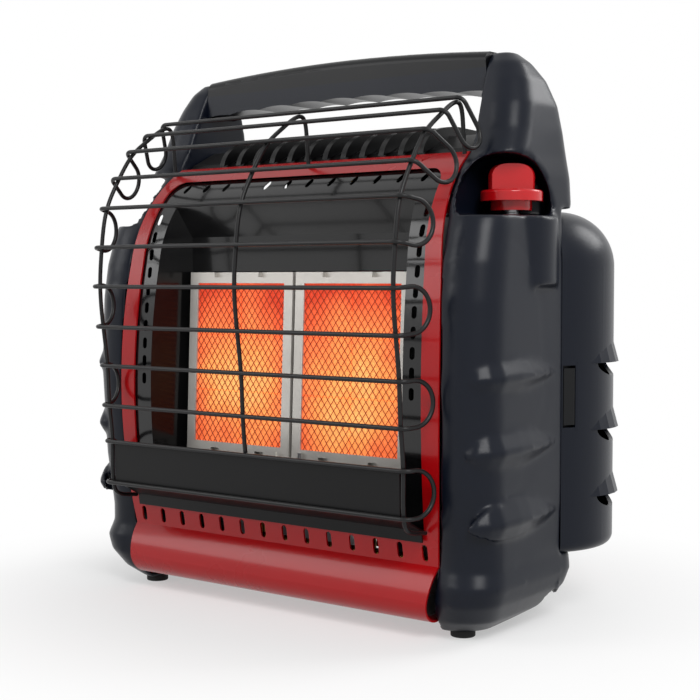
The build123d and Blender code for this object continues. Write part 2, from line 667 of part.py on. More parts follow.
# ================================================================ burners
for side, sign in SIDES:
    plane = TILE_PLANE.offset(0)
    plane.origin = TILE_PLANE.origin + Vector(sign * FRAME_X, 0, 0)
    with BuildPart(plane) as burner_frame:
        with Locations((0, 0, -9.0)):
            Box(FRAME_W, FRAME_H, FRAME_D, align=ON_BASE)
            Box(TILE_W + 1, TILE_H + 1, FRAME_D - 1.5, align=ON_BASE, mode=Mode.SUBTRACT)
        Box(TILE_W - 5, TILE_H - 5, 40, mode=Mode.SUBTRACT)
        with Locations(*[(x, y, 5.0) for x in (-24, 24) for y in (-FRAME_H / 2, FRAME_H / 2)]):
            Box(9.0, 8.0, 8.0, mode=Mode.SUBTRACT)  # clip notches in the rim
    save(f"burner_frame_{side}", burner_frame.part)

    with BuildPart(plane) as burner_tile:
        with Locations((0, 0, -8.0)):
            Box(TILE_W, TILE_H, TILE_D, align=ON_BASE)
        with BuildSketch(plane.offset(TILE_D - 8.0)):  # shallow grooves between the tile's six blocks
            Rectangle(1.2, TILE_H)
            with GridLocations(0, TILE_H / 3, 1, 2):
                Rectangle(TILE_W, 1.2)
        extrude(amount=-1.0, mode=Mode.SUBTRACT)
    save(f"burner_tile_{side}", burner_tile.part)

    with BuildPart(plane) as plenum:
        with Locations((0, 0, -9.0)):
            Box(107.0, 142.0, PLENUM_D, align=(Align.CENTER, Align.CENTER, Align.MAX))
        with Locations((0, 0, -9.0)):
            Box(105.0, 140.0, PLENUM_D - 1, align=(Align.CENTER, Align.CENTER, Align.MAX), mode=Mode.SUBTRACT)
    save(f"burner_plenum_{side}", plenum.part - post(sign * FRAME_X, VENTURI_Y, VENTURI_R, 100.0, 130.0))

    with BuildPart() as venturi:
        with BuildSketch(Plane.XZ):
            with BuildLine():
                outside = Polyline((14.0, 64.0), (7.5, 80.0), (VENTURI_R, 100.0), (VENTURI_R, 128.0))
                inside = Polyline((VENTURI_R - 1, 128.0), (VENTURI_R - 1, 100.0), (6.5, 80.0), (13.0, 64.0))
                Line(outside @ 1, inside @ 0)
                Line(inside @ 1, outside @ 0)
            make_face()
        revolve(axis=Axis.Z)
    save(f"venturi_tube_{side}", venturi.part.moved(Location((sign * FRAME_X, VENTURI_Y, 0))))

# ================================================================ guard
WIRE_R = WIRE_D / 2
UPRIGHT_INSET = WIRE_D + 0.06  # the uprights lie against the hoops' inner side


def inward(row):
    """Unit normal in (y, z), pointing into the heater, where the guard passes wire `row`."""
    (y0, z0), (y1, z1) = GUARD_ROWS[max(row - 1, 0)], GUARD_ROWS[min(row + 1, len(GUARD_ROWS) - 1)]
    along = Vector(0, y1 - y0, z1 - z0).normalized()
    return Vector(0, -along.Z, along.Y)


def hoop(row, depth):
    """Closed wire hoop: two bars across the front, joined by a U-bend at each end."""
    (y0, z0), (y1, z1) = GUARD_ROWS[row], GUARD_ROWS[row + 1]
    upper, lower = Vector(GUARD_HALF, y0, z0), Vector(GUARD_HALF, y1, z1)
    along = (lower - upper).normalized()
    out, back = Vector(1, 0, 0), Vector(0, -along.Z, along.Y)
    leg_dir = out * cos(radians(HOOP_TURN)) + back * sin(radians(HOOP_TURN))
    half_gap = (lower - upper).length / 2

    def corner(start, turn):
        bend = radians(turn)
        return start + out * (HOOP_BEND_R * sin(bend)) + back * (HOOP_BEND_R * (1 - cos(bend)))

    first, last = corner(upper, HOOP_TURN), corner(lower, HOOP_TURN)
    leg = leg_dir * ((depth - half_gap - (first - upper).dot(back)) / sin(radians(HOOP_TURN)))
    apex = first + leg + along * half_gap + leg_dir * half_gap
    with BuildPart() as wire:
        with BuildLine() as course:
            Line((0, y0, z0), upper)
            ThreePointArc(upper, corner(upper, HOOP_TURN / 2), first)
            Line(first, first + leg)
            ThreePointArc(first + leg, apex, last + leg)
            Line(last + leg, last)
            ThreePointArc(last, corner(lower, HOOP_TURN / 2), lower)
            Line(lower, (0, y1, z1))
        with BuildSketch(Plane(origin=(0, y0, z0), z_dir=(1, 0, 0))):
            Circle(WIRE_R)
        sweep(path=course.wires()[0])
        mirror(about=Plane.YZ)
    return wire.part


for number, depth in enumerate(HOOP_DEPTHS, 1):
    save(f"guard_hoop_{number}", hoop(2 * number - 2, depth))

inner_course = [Vector(0, y, z) + inward(i) * UPRIGHT_INSET for i, (y, z) in enumerate(GUARD_ROWS)]
crown_course = [Vector(0, -51.5, 345.6), Vector(0, -53.6, 366.0), Vector(0, -57.8, 380.5)]
foot_course = [Vector(0, -121.5, 83.5), Vector(0, -110.0, 79.0), Vector(0, -98.6, 77.5)]
for name, x in (("left", -GUARD_HALF), ("middle", 0.0), ("right", GUARD_HALF)):
    rows = inner_course[1:-1] if name == "middle" else inner_course[1:]
    tail = [Vector(0, -125.0, 121.5 + 4.2)] if name == "middle" else foot_course
    course = crown_course + (rows[:-1] if name == "middle" else rows) + tail
    save(f"guard_upright_{name}", rod([p + Vector(x, 0, 0) for p in course], WIRE_R))

with BuildPart() as lower_guard_plate:
    add(sheet([(-125.3, 124.0), (-124.6, 91.5), (-99.5, 78.5), (-98.3, 70.0)], 144.0, 1.2, Side.LEFT))
save("lower_guard_plate", lower_guard_plate.part)

# ================================================================ top grille
RIBS, RIB_PITCH = 12, 18.45
TOP_HALF, TOP_HALF_REAR, TOP_STEP_Y = 144.0, 99.0, 36.0
deck = [(-37.4, 348.1), (-33.0, 352.0), (-8.0, 364.0), (60.0, 367.0)]
deck += [(92.0, 350.0), (106.2, 334.0), (106.2, 322.0)]
with BuildPart() as under_deck:
    with BuildSketch(Plane.YZ):
        with BuildLine():
            Polyline(*deck, (106.2, 300.0), (-37.4, 300.0), close=True)
        make_face()
    extrude(amount=200, both=True)

with BuildPart() as top_grille:
    add(sheet(deck, TOP_HALF, SHEET, Side.RIGHT))
    for x in (-TOP_HALF_REAR, TOP_HALF_REAR):
        cut(block(min(x, 2 * x), max(x, 2 * x), TOP_STEP_Y, 130.0, 300.0, 380.0))
    with BuildSketch(Plane.XZ.offset(-60.0)):  # outlet slots between the ribs
        with GridLocations(RIB_PITCH, 0, RIBS - 1, 1):
            with Locations((0, 358.0)):
                Rectangle(11.0, 12.0)
    extrude(amount=100.0, mode=Mode.SUBTRACT)
    with BuildSketch(Plane.YZ):
        with BuildLine():
            brow = Spline((-43.0, 349.0), (-36.0, 361.0), (-20.0, 369.0), (4.0, 372.0))
            Polyline(brow @ 1, (60.0, 370.0), (60.0, 362.0), (-8.0, 361.0), brow @ 0)
        make_face()
    rib = extrude(amount=2.5, both=True, mode=Mode.PRIVATE)
    with GridLocations(RIB_PITCH, 0, RIBS, 1):
        add(rib)
    for x, y0, y1 in ((TOP_HALF - 5.7, -34.0, TOP_STEP_Y), (TOP_HALF_REAR - 1.2, TOP_STEP_Y, CHASSIS_BACK_Y)):
        for x0, x1 in ((x, x + 1.2), (-x - 1.2, -x)):
            add(block(x0, x1, y0, y1, 308.5, 362.0) & under_deck.part)
save("top_grille", top_grille.part)

# ================================================================ chassis
with BuildPart() as base_pan:
    add(block(-138.0, 138.0, -80.0, CHASSIS_STEP_Y, CHASSIS_LOW_Z, CHASSIS_LOW_Z + THIN))
    add(block(-98.0, 98.0, CHASSIS_STEP_Y, CHASSIS_BACK_Y, CHASSIS_LOW_Z, CHASSIS_LOW_Z + THIN))
    with BuildSketch(Plane.XY):
        with Locations((0, 30.0)):
            with GridLocations(14.0, 0, 9, 1):
                SlotOverall(70.0, 5.0, rotation=90)
    extrude(amount=30.0, mode=Mode.SUBTRACT)
save("base_pan", base_pan.part)

with BuildPart() as chassis_wall:
    with BuildSketch(Plane.XY.offset(CHASSIS_LOW_Z + THIN)):
        with BuildLine():
            Polyline(
                (CHASSIS_HALF_FRONT, -72.0),
                (CHASSIS_HALF_FRONT, CHASSIS_STEP_Y),
                (CHASSIS_HALF_BACK, CHASSIS_STEP_Y),
                (CHASSIS_HALF_BACK, CHASSIS_BACK_Y),
            )
            offset(amount=THIN, side=Side.LEFT)
        make_face()
    extrude(amount=CHASSIS_TOP_Z - CHASSIS_LOW_Z - THIN)
    cut(bar_along("y", SUPPLY_X, CHASSIS_STEP_Y, SWIVEL_Z, HOSE_R + 1.5, 20.0))
    with BuildSketch(Plane.YZ.offset(CHASSIS_HALF_FRONT - 10)):
        with Locations((-35.0, 284.0)):
            SlotOverall(26.0, 12.0)
        with Locations((MANIFOLD_Y, MANIFOLD_Z)):
            Circle(MANIFOLD_R + 1.5)
    extrude(amount=20, mode=Mode.SUBTRACT)
save_pair("chassis_wall", chassis_wall.part)

with BuildPart() as heat_shield:
    add(block(-136.0, 136.0, -54.0, -24.0, 302.0, 303.0))
    add(block(-68.0, 68.0, -24.0, 98.0, 302.0, 303.0))
    for x in (-1, 1):
        add(block(min(x * 70.0, x * 71.3), max(x * 70.0, x * 71.3), -10.0, 90.0, CHASSIS_TOP_Z - 8, 303.0))
        add(block(min(x * 60.0, x * 71.3), max(x * 60.0, x * 71.3), -10.0, 90.0, 302.0, 303.0))
save("heat_shield", heat_shield.part)

with BuildPart() as rear_panel:
    add(block(-98.0, 98.0, CHASSIS_BACK_Y, CHASSIS_BACK_Y + SHEET, 16.0, 330.0))
    with BuildSketch(Plane.XZ.offset(-CHASSIS_BACK_Y - 10)):
        with Locations((0, FAN_Z)):
            Circle(FAN_R)
        with Locations(*SCREW_SPOTS):
            Circle(SCREW_HOLE_R)
        with Locations((0, 26.0)):
            with GridLocations(12.0, 0, 12, 1):
                SlotOverall(14.0, 5.0, rotation=90)
    extrude(amount=20, mode=Mode.SUBTRACT)
save("rear_panel", rear_panel.part)

with BuildPart() as rear_screws:
    for x, z in SCREW_SPOTS:
        place = Pos(x, CHASSIS_BACK_Y + SHEET, z) * Rot(-90, 0, 0)
        add(place * Pos(0, 0, 0.8) * Cylinder(3.6, 1.6, mode=Mode.PRIVATE))
        add(place * Pos(0, 0, -1.4) * Cylinder(1.5, 3.0, mode=Mode.PRIVATE))
save("rear_screws", rear_screws.part)

# ================================================================ fan housing
BACK_Y = CHASSIS_BACK_Y + SHEET
LID = 2.5
with BuildPart() as fan_housing:
    add(block(-HOUSING_HALF, HOUSING_HALF, BACK_Y, REAR_Y, HOUSING_LOW_Z, HOUSING_TOP_Z))
    fillet(fan_housing.edges().filter_by(Axis.Z).group_by(Axis.Y)[-1], 8.0)
    inner = HOUSING_HALF - LID
    cut(block(-inner, inner, BACK_Y - 1, REAR_Y - LID, HOUSING_LOW_Z + 3, BATTERY_TOP_Z + 2))
    cut(block(-inner, inner, BACK_Y - 1, REAR_Y - LID, BATTERY_TOP_Z + 4.5, HOUSING_TOP_Z - 3))
    cut(block(-61.0, 61.0, REAR_Y - 5, REAR_Y + 5, BATTERY_LOW_Z, BATTERY_TOP_Z))
    with BuildSketch(Plane.XZ.offset(-REAR_Y - 5)):  # air inlet slots
        with Locations((0, FAN_Z)):
            with GridLocations(0, 8.4, 1, 9):
                SlotOverall(76.0, 4.2)
    extrude(amount=12, mode=Mode.SUBTRACT)
    with BuildSketch(Plane.XZ.offset(-REAR_Y)):  # solid middle that carries the motor
        with Locations((0, FAN_Z)):
            Circle(14.0)
    extrude(amount=LID)
save("fan_housing", fan_housing.part)

with BuildPart() as battery_cover:
    add(block(-60.6, 60.6, REAR_Y - 2.4, REAR_Y, BATTERY_LOW_Z + GAP, BATTERY_TOP_Z - GAP))
    cut(block(-12.0, 12.0, REAR_Y - 1.0, REAR_Y, BATTERY_TOP_Z - 10, BATTERY_TOP_Z - 4))
save("battery_cover", battery_cover.part)

with BuildPart() as fan_switch:
    add(switch_axis * Cylinder(9.6, 12.4, mode=Mode.PRIVATE))
    for turn in (-10, 10):
        cut(switch_place * Rot(turn, 0, 0) * Pos(0, 0, 8.4 + 10) * Box(30, 40, 20, mode=Mode.PRIVATE))
    add(switch_axis * Cylinder(1.5, 17.6, mode=Mode.PRIVATE))
save("fan_switch", fan_switch.part)

fan_place = Pos(0, REAR_Y - LID, FAN_Z) * Rot(90, 0, 0)  # local Z points to the front
with BuildPart() as fan_motor:
    add(fan_place * Pos(0, 0, 9.0) * Cylinder(13.0, 18.0, mode=Mode.PRIVATE))
    add(fan_place * Pos(0, 0, 22.0) * Cylinder(1.5, 16.0, mode=Mode.PRIVATE))
save("fan_motor", fan_motor.part)

with BuildPart() as fan_rotor:
    add(fan_place * Pos(0, 0, 24.5) * Cylinder(10.0, 9.0, mode=Mode.PRIVATE))
    for i in range(5):
        pitched = Rot(28, 0, 0) * Box(31.0, 16.0, 1.5, mode=Mode.PRIVATE)
        blade = Rot(0, 0, 72 * i) * Pos(23.5, 0, 24.5) * pitched
        add(fan_place * blade)
    cut(fan_place * Pos(0, 0, 22.0) * Cylinder(1.5 + RUN_FIT, 20.0, mode=Mode.PRIVATE))
save("fan_rotor", fan_rotor.part)

# ================================================================ gas train
with BuildPart() as control_valve:
    add(block(152.0, 182.0, -50.0, -20.5, VALVE_LOW_Z, VALVE_TOP_Z))
    add(post(KNOB_X, KNOB_Y, 7.9, VALVE_LOW_Z + 8, NECK_TOP_Z))
    cut(post(KNOB_X, KNOB_Y, STEM_R + RUN_FIT, VALVE_LOW_Z + 12, NECK_TOP_Z + 1))
save("control_valve", control_valve.part)

with BuildPart() as valve_stem:
    add(post(KNOB_X, KNOB_Y, STEM_R, VALVE_LOW_Z + 20, STEM_TOP_Z))
save("valve_stem", valve_stem.part)

with BuildPart() as return_spring:
    with BuildLine() as coil:
        Helix(pitch=1.35, height=5.4, radius=6.0, center=(KNOB_X, KNOB_Y, NECK_TOP_Z + 0.7))
    with BuildSketch(Plane(origin=coil.line @ 0, z_dir=coil.line % 0)):
        Circle(0.4)
    sweep(path=coil.line)
save("return_spring", return_spring.part)

KNOB_LOW_Z = ALCOVE_FLOOR_Z + KNOB_TRAVEL + 0.3
with BuildPart() as control_knob:
    add(post(KNOB_X, KNOB_Y, 15.0, KNOB_LOW_Z, 312.0))
    add(post(KNOB_X, KNOB_Y, 22.8, 312.0, 320.0))
    fillet(control_knob.edges().group_by(Axis.Z)[-1], 2.0)
    add(post(KNOB_X, KNOB_Y, 17.0, 318.0, 339.0))
    fillet(control_knob.edges().group_by(Axis.Z)[-1], 9.0)
    for sign in (-1, 1):  # finger flats leave a grip bar across the top
        place = Location((KNOB_X, KNOB_Y, 331.0), (0, 0, 38.65))
        cut(place * Pos(0, sign * 15.5, 0) * Box(40, 14, 21, mode=Mode.PRIVATE))
    cut(post(KNOB_X, KNOB_Y, STEM_R + RUN_FIT, KNOB_LOW_Z - 1, STEM_TOP_Z + 0.2))
save("control_knob", control_knob.part)

with BuildPart() as piezo_igniter:
    add(post(162.0, -56.0, 6.0, 254.0, 288.0))
    add(post(162.0, -56.0, 2.0, 246.0, 254.0))
save("piezo_igniter", piezo_igniter.part)

with BuildPart() as gas_manifold:
    add(post(DOWNPIPE_X, MANIFOLD_Y, MANIFOLD_R, MANIFOLD_Z, VALVE_LOW_Z))
    add(Pos(DOWNPIPE_X, MANIFOLD_Y, MANIFOLD_Z) * Sphere(MANIFOLD_R + 2, mode=Mode.PRIVATE))
    run = DOWNPIPE_X + FRAME_X + 6.0
    add(bar_along("x", DOWNPIPE_X - run / 2, MANIFOLD_Y, MANIFOLD_Z, MANIFOLD_R, run))
    for side, sign in SIDES:
        add(post(sign * FRAME_X, VENTURI_Y, 4.5, MANIFOLD_Z, 60.0))
    for side, sign in SIDES:
        cut(post(sign * FRAME_X, VENTURI_Y, 0.8, MANIFOLD_Z, 61.0))
save("gas_manifold", gas_manifold.part)

# each regulator hangs from a swivel that reaches out of the bay's inner wall
bay_place = Location((BAY_X, BAY_Y, 0), (0, 0, DOOR_TURN))  # local X outward, local Y along the seam
with BuildPart() as swivel:
    with BuildSketch(Plane.XZ):
        with BuildLine():
            arm = Polyline((-22.0, 6.6), (0, 6.6))
            tip = ThreePointArc(arm @ 1, (6.6, 0), (0, -6.6))
            Polyline(tip @ 1, (-22.0, -6.6), (-22.0, 6.6))
        make_face()
    extrude(amount=12.4, both=True)
    cut(block(-14.0, 20.0, -8.4, 8.4, -10, 10))
    add(Pos(-46.0, 0, 0) * Rot(0, 90, 0) * Cylinder(SWIVEL_R, 50.0, mode=Mode.PRIVATE))
    add(Rot(90, 0, 0) * Cylinder(3.0, 24.8, mode=Mode.PRIVATE))
save_pair("swivel", swivel.part.moved(bay_place * Pos(0, 0, SWIVEL_Z)))

with BuildPart() as regulator:
    add(post(0, 0, 15.5, INLET_Z, 263.0))
    add(post(0, 0, REGULATOR_R, 262.0, SWIVEL_Z - 7.0))
    add(block(-6.6, 6.6, -8.0, 8.0, SWIVEL_Z - 9, SWIVEL_Z))
    add(Pos(0, 0, SWIVEL_Z) * Rot(90, 0, 0) * Cylinder(6.6, 16.0, mode=Mode.PRIVATE))
    cut(Pos(0, 0, SWIVEL_Z) * Rot(90, 0, 0) * Cylinder(3.0 + RUN_FIT, 30.0, mode=Mode.PRIVATE))
    cut(post(0, 0, INLET_R, INLET_Z - 1, INLET_Z + INLET_L))
save_pair("regulator", regulator.part.moved(bay_place))

# supply hoses: out of the swivel's nose, through the chassis and across to the valve
VALVE_SIDE_X = 151.5
nose_end = Vector(BAY_X, BAY_Y, SWIVEL_Z) - DOOR_DIR * 71.2
turn_y = nose_end.Y - (nose_end.X - SUPPLY_X) * DOOR_DIR.Y / DOOR_DIR.X
for (side, sign), across_y, valve_z in zip(SIDES, (-33.0, -40.5), (286.0, 280.0)):
    save(f"supply_hose_{side}", pipe(
        (sign * nose_end.X, nose_end.Y, SWIVEL_Z),
        (sign * SUPPLY_X, turn_y, SWIVEL_Z),
        (sign * SUPPLY_X, across_y, SWIVEL_Z),
        (VALVE_SIDE_X, across_y, valve_z),
    ))

# ================================================================ pilot and controls
with BuildPart() as pilot_burner:
    add(post(0, -76.0, 4.0, 104.0, 112.0))
    add(block(-8.0, 8.0, -79.0, -73.0, 101.5, 104.0))
    add(Pos(0, -76.0, 112.0) * Cone(4.0, 2.5, 3.0, align=ON_BASE, mode=Mode.PRIVATE))
save("pilot_burner", pilot_burner.part)

with BuildPart() as thermocouple:
    add(post(12.0, -77.0, 1.6, 101.5, 122.0))
    add(post(12.0, -77.0, 2.6, 101.5, 108.0))
save("thermocouple", thermocouple.part)

with BuildPart() as igniter_electrode:
    add(post(-12.0, -77.0, 2.4, 101.5, 113.0))
    add(post(-12.0, -77.0, 0.7, 113.0, 121.0))
save("igniter_electrode", igniter_electrode.part)

with BuildPart() as tip_over_switch:
    add(block(-12.0, 12.0, 74.0, 92.0, CHASSIS_LOW_Z + THIN, 44.0))
    fillet(tip_over_switch.edges().filter_by(Axis.Z), 2.0)
save("tip_over_switch", tip_over_switch.part)

with BuildPart() as rubber_feet:
    for x, y in FEET:
        add(post(x, y, FOOT_R, 0, FOOT_TOP_Z))
    fillet(rubber_feet.edges().group_by(Axis.Z)[0], 1.0)
    for x, y in FEET:
        add(post(x, y, STUD_R, FOOT_TOP_Z, FOOT_TOP_Z + STUD_L - 1))
save("rubber_feet", rubber_feet.part)
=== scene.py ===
"""Looks for a portable propane heater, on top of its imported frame."""
import math

import bmesh
import bpy
from mathutils import Matrix, Vector


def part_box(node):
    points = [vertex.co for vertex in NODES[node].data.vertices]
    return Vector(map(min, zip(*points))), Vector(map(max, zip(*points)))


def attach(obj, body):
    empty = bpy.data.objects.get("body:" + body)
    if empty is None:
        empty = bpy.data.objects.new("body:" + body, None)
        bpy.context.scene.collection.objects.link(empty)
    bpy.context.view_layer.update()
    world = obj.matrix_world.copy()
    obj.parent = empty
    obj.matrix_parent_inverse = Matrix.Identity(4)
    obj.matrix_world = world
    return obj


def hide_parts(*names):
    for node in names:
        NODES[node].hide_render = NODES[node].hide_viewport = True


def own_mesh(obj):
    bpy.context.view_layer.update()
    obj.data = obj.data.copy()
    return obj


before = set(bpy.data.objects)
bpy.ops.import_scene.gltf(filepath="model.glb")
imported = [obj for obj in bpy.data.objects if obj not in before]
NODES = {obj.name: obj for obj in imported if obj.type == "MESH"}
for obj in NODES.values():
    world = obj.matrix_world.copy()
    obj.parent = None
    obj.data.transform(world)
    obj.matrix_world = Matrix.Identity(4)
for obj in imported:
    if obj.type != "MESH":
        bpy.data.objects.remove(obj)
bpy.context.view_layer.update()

bl_info = {
    "name": "Portable propane heater",
    "version": (1, 0, 0),
    "blender": (4, 5, 0),
    "location": "View3D > Sidebar > Heater",
    "description": "Dresses the packed heater: finishes, softened casings, glowing burners and a stage",
    "category": "Object",
}

SIDES = ("right", "left")

# The softened casings
CASING_CELL, CASING_ROUNDS = 0.0020, 6  # voxel size and rounds of smoothing
WELD = 0.00001  # corners of a CAD mesh that are nearer than this are one

# The burner tiles, which the CAD builds on a leaning plane, and the screens in front
TILE_Y, TILE_Z = -0.0665, 0.188  # middle of that plane
TILE_LEAN = -math.atan2(0.04, 0.9992)  # the tiles look slightly up
TILE_FACE = 0.003  # how far a tile's face stands before that plane
TILE_HEIGHT = 0.1336
SCREEN_EDGE = 0.003  # how far inside the tile's edges a screen ends
DIAMOND_SHARE = 1.35  # height of a diamond against its width
STRAND_SIDES = 4

# The tiles' glow
GLOW_STEPS = (  # distance from the hottest, and the colour as seen on screen
    (0.30, (255, 182, 104)),
    (0.45, (255, 158, 84)),
    (0.60, (250, 130, 72)),
    (0.80, (234, 98, 54)),
    (1.00, (206, 62, 34)),
)
GLOW_HEIGHT = 0.36  # where the hottest spot is, as a share of the tile's height
GLOW_FALL_UP, GLOW_FALL_ACROSS = 1.5, 0.32  # how fast the heat drops away from it
GLOW_CLOUDS = 0.7  # how uneven the glow is

# The stage
FLOOR_REACH = 6.0
FADE_FROM, FADE_TO, FADE_LEAST = 0.16, 0.42, 0.45  # the floor turns white between these distances
WORLD_LIGHT = 0.38
LAMP_AIM = (0.0, 0.0, 0.2)
LAMPS = (  # name, place, size and power
    ("key", (1.5, -1.1, 1.5), 0.9, 26.0),
    ("fill", (-1.4, -1.7, 1.2), 1.2, 13.0),
    ("back", (1.0, 1.6, 1.5), 1.0, 20.0),
)

COLOUR_A, COLOUR_B, COLOUR_OUT = 6, 7, 2  # a Mix node's colour sockets, whose names it uses twice
WHITE = (1.0, 1.0, 1.0, 1.0)


def linear(red, green, blue):
    """Turn a 0 to 255 colour as seen on screen into a shader colour."""
    def channel(value):
        value /= 255.0
        return value / 12.92 if value <= 0.04045 else ((value + 0.055) / 1.055) ** 2.4

    return channel(red), channel(green), channel(blue), 1.0


# ---------------------------------------------------------------- sizes and colours a user would change


class HeaterSizes(bpy.types.PropertyGroup):
    """Sizes of the burner screens, and the camera."""

    screen_pitch: bpy.props.FloatProperty(
        name="Screen pitch", description="Width of one diamond of the burner screens", default=0.0062,
        unit="LENGTH",
    )
    screen_wire: bpy.props.FloatProperty(
        name="Screen wire", description="Radius of the burner screens' strands", default=0.0005,
        unit="LENGTH",
    )
    screen_gap: bpy.props.FloatProperty(
        name="Screen gap", description="How far a screen stands off its tile", default=0.0007,
        unit="LENGTH",
    )
    camera_turn: bpy.props.FloatProperty(
        name="Camera turn", description="Heading of the camera round the heater",
        default=math.radians(38.65), subtype="ANGLE",
    )
    camera_dip: bpy.props.FloatProperty(
        name="Camera dip", description="How far the camera looks down", default=math.radians(2.79),
        subtype="ANGLE",
    )
    camera_lens: bpy.props.FloatProperty(
        name="Camera lens", description="Focal length of the camera", default=74.57, unit="CAMERA",
    )
    camera_place: bpy.props.FloatVectorProperty(
        name="Camera place", description="Where the camera stands", default=(0.73696, -0.92106, 0.25549),
        subtype="TRANSLATION",
    )


class HeaterColours(bpy.types.PropertyGroup):
    """Colours of the finishes."""

    casing: bpy.props.FloatVectorProperty(
        name="Casing", description="Blue-black moulded plastic", default=linear(12, 17, 28), size=4,
        subtype="COLOR",
    )
    handle: bpy.props.FloatVectorProperty(
        name="Handle", description="Dark handle plastic", default=linear(11, 12, 14), size=4,
        subtype="COLOR",
    )
    red: bpy.props.FloatVectorProperty(
        name="Red enamel", description="Red paint of the front skin", default=linear(160, 4, 10), size=4,
        subtype="COLOR",
    )
    knob: bpy.props.FloatVectorProperty(
        name="Knob", description="Glossy red knob", default=linear(190, 10, 18), size=4, subtype="COLOR",
    )
    black: bpy.props.FloatVectorProperty(
        name="Black enamel", description="Heat-resistant black paint", default=linear(10, 10, 11), size=4,
        subtype="COLOR",
    )
    wire: bpy.props.FloatVectorProperty(
        name="Wire", description="Black coating of the guard wire", default=linear(22, 22, 23), size=4,
        subtype="COLOR",
    )


def colour(name):
    """A colour the user has set."""
    return tuple(getattr(bpy.context.scene.heater_colours, name))


# ---------------------------------------------------------------- node building blocks


def put(made, **values):
    """Set a node's properties, or its inputs by name with spaces as underscores."""
    for key, value in values.items():
        if hasattr(made, key):
            setattr(made, key, value)
        else:
            made.inputs[key.replace("_", " ")].default_value = value
    return made


def node(tree, kind, place, **values):
    """Add a node at a place in the tree, with its values set as put() does."""
    made = tree.nodes.new(kind)
    made.location = place
    return put(made, **values)


def maths(tree, operation, *values, place=(0, 0)):
    """Add a Math node and return its output. Each value is a number, or the output that feeds it."""
    made = node(tree, "ShaderNodeMath", place, operation=operation)
    for socket, value in zip(made.inputs, values):
        if isinstance(value, bpy.types.NodeSocket):
            tree.links.new(value, socket)
        else:
            socket.default_value = value
    return made.outputs[0]


def along(tree, axis, value):
    """A vector with this value on one axis and nothing on the other two."""
    made = tree.nodes.new("ShaderNodeCombineXYZ")
    tree.links.new(value, made.inputs[axis])
    return made.outputs[0]


def group(name, sockets_in, sockets_out):
    """Start a shader node group and return (tree, input node, output node)."""
    tree = bpy.data.node_groups.new(name, "ShaderNodeTree")
    for label, kind, default in sockets_in:
        socket = tree.interface.new_socket(name=label, in_out="INPUT", socket_type=kind)
        socket.default_value = default
    for label, kind in sockets_out:
        tree.interface.new_socket(name=label, in_out="OUTPUT", socket_type=kind)
    start = node(tree, "NodeGroupInput", (-900, 0))
    end = node(tree, "NodeGroupOutput", (600, 0))
    return tree, start, end


def moulding_grain():
    """Fine grain with slow changes of tone and gloss, for every finish."""
    tree, start, end = group(
        "Moulding grain",
        (("Grain Scale", "NodeSocketFloat", 1500.0), ("Tone Scale", "NodeSocketFloat", 14.0),
         ("Tone Change", "NodeSocketFloat", 0.12), ("Base", "NodeSocketColor", (0.5, 0.5, 0.5, 1.0)),
         ("Roughness", "NodeSocketFloat", 0.45), ("Roughness Change", "NodeSocketFloat", 0.08)),
        (("Color", "NodeSocketColor"), ("Roughness", "NodeSocketFloat"), ("Height", "NodeSocketFloat")),
    )
    link = tree.links.new
    coords = node(tree, "ShaderNodeTexCoord", (-900, -300))
    grain = node(tree, "ShaderNodeTexNoise", (-600, -300), Detail=3.0, Roughness=0.6)
    tone = node(tree, "ShaderNodeTexNoise", (-600, 100), Detail=4.0, Roughness=0.55)
    link(coords.outputs["Object"], grain.inputs["Vector"])
    link(coords.outputs["Object"], tone.inputs["Vector"])
    link(start.outputs["Grain Scale"], grain.inputs["Scale"])
    link(start.outputs["Tone Scale"], tone.inputs["Scale"])
    shift = maths(tree, "SUBTRACT", tone.outputs["Fac"], 0.5, place=(-400, 100))
    gain = maths(tree, "MULTIPLY_ADD", shift, start.outputs["Tone Change"], 1.0, place=(-200, 100))
    tint = node(tree, "ShaderNodeVectorMath", (0, 100), operation="SCALE")
    link(start.outputs["Base"], tint.inputs[0])
    link(gain, tint.inputs["Scale"])
    rough = maths(tree, "MULTIPLY_ADD", shift, start.outputs["Roughness Change"],
                  start.outputs["Roughness"], place=(0, -100))
    link(tint.outputs[0], end.inputs["Color"])
    link(rough, end.inputs["Roughness"])
    link(grain.outputs["Fac"], end.inputs["Height"])
    return tree


